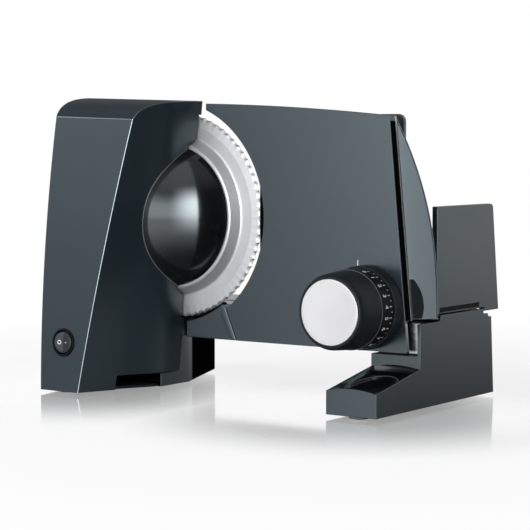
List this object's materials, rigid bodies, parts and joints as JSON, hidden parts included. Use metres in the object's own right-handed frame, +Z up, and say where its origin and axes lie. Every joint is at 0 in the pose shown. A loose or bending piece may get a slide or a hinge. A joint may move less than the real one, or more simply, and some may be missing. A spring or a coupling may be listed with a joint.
{
  "type": "food slicer",
  "caption": "Compact electric food slicer: round toothed blade on a motor tower, stop plate set by a numbered knob, sliding food carriage with holder.",
  "frame": {"origin": "middle of the footprint, on the surface that the rubber pads stand on", "axes": "+X along the blade plane from the motor tower to the right-hand pillar, +Y from the operator side to the food carriage, +Z up"},
  "size_m": [0.3312, 0.215, 0.2426],
  "materials": {
    "housing": "anthracite, satin gloss",
    "gloss_black": "polished black",
    "black": "matt black",
    "steel": "satin ground",
    "aluminium": "satin",
    "brass": "turned",
    "nylon": "natural",
    "rubber": "matt"
  },
  "bodies": {
    "base": {"motor_housing": "housing", "dome_cover": "gloss_black", "rear_panel": "black", "panel_screw_1": "steel", "panel_screw_2": "steel", "panel_screw_3": "steel", "panel_screw_4": "steel", "housing_floor": "black", "switch_bezel": "black", "switch_body": "black", "shaft_bush": "brass", "motor_can": "steel", "motor_bracket": "black", "base_frame": "housing", "pillar_foot": "housing", "dish_liner": "gloss_black", "guide_strip": "steel", "pillar_floor": "black", "pad_front_left": "rubber", "pad_rear_left": "rubber", "pad_front_right": "rubber", "pad_rear_right": "rubber", "cord_gland": "black", "blade_guard": "housing", "guide_bush_left": "nylon", "guide_bush_right": "nylon", "screw_nut": "brass"},
    "blade_spindle": {"blade": "steel", "blade_shaft": "steel", "blade_gear": "nylon", "drive_boss": "black"},
    "blade_lock": {"blade_lock": "black"},
    "motor_rotor": {"motor_armature": "steel", "motor_shaft": "steel", "motor_pinion": "brass"},
    "switch_rocker": {"switch_rocker": "black"},
    "stop_plate": {"stop_plate": "housing", "stop_face": "aluminium", "plate_wing": "housing", "knob_collar": "black", "guide_rod_left": "steel", "guide_rod_right": "steel"},
    "knob": {"knob_cap": "black", "knob_face": "aluminium", "knob_dial": "black", "knob_shaft": "steel", "knob_gear": "brass"},
    "lead_screw": {"lead_screw": "steel", "screw_gear": "brass"},
    "carriage": {"carriage_table": "housing", "carriage_wall": "housing", "carriage_shoe": "nylon", "carriage_hook": "nylon"},
    "food_holder": {"food_holder": "housing", "holder_grip": "black"}
  },
  "joints": [
    {"name": "blade_spin", "type": "hinge", "parent": "base", "child": "blade_spindle", "pos_m": [-0.07461, -0.0155, 0.1445], "axis": [0, 1, 0], "continuous": true},
    {"name": "blade_lock_turn", "type": "hinge", "parent": "blade_spindle", "child": "blade_lock", "pos_m": [-0.07461, -0.0155, 0.1445], "axis": [0, 1, 0], "range_deg": [0, 90]},
    {"name": "motor_spin", "type": "hinge", "parent": "base", "child": "motor_rotor", "pos_m": [-0.10908, -0.0415, 0.11557], "axis": [0, 1, 0], "continuous": true},
    {"name": "switch_rock", "type": "hinge", "parent": "base", "child": "switch_rocker", "pos_m": [-0.1241, -0.10235, 0.04231], "axis": [0, 0.0633, 0.998], "range_deg": [-7, 7]},
    {"name": "knob_turn", "type": "hinge", "parent": "stop_plate", "child": "knob", "pos_m": [0.1171, -0.0555, 0.0779], "axis": [0, -1, 0], "range_deg": [0, 320]},
    {"name": "stop_plate_slide", "type": "slide", "parent": "base", "child": "stop_plate", "axis": [0, -1, 0], "range_m": [0, 0.02]},
    {"name": "screw_turn", "type": "hinge", "parent": "stop_plate", "child": "lead_screw", "pos_m": [0.1171, 0.0045, 0.0599], "axis": [0, -1, 0], "range_deg": [-320, 0]},
    {"name": "carriage_slide", "type": "slide", "parent": "base", "child": "carriage", "axis": [-1, 0, 0], "range_m": [0, 0.17]},
    {"name": "food_holder_slide", "type": "slide", "parent": "carriage", "child": "food_holder", "axis": [0, 1, 0], "range_m": [0, 0.052]}
  ],
  "couplings": [
    {"joint": "motor_spin", "follows": "blade_spin", "ratio": -4},
    {"joint": "knob_turn", "follows": "stop_plate_slide", "rad_per_m": 279.25},
    {"joint": "screw_turn", "follows": "stop_plate_slide", "rad_per_m": -279.25}
  ]
}
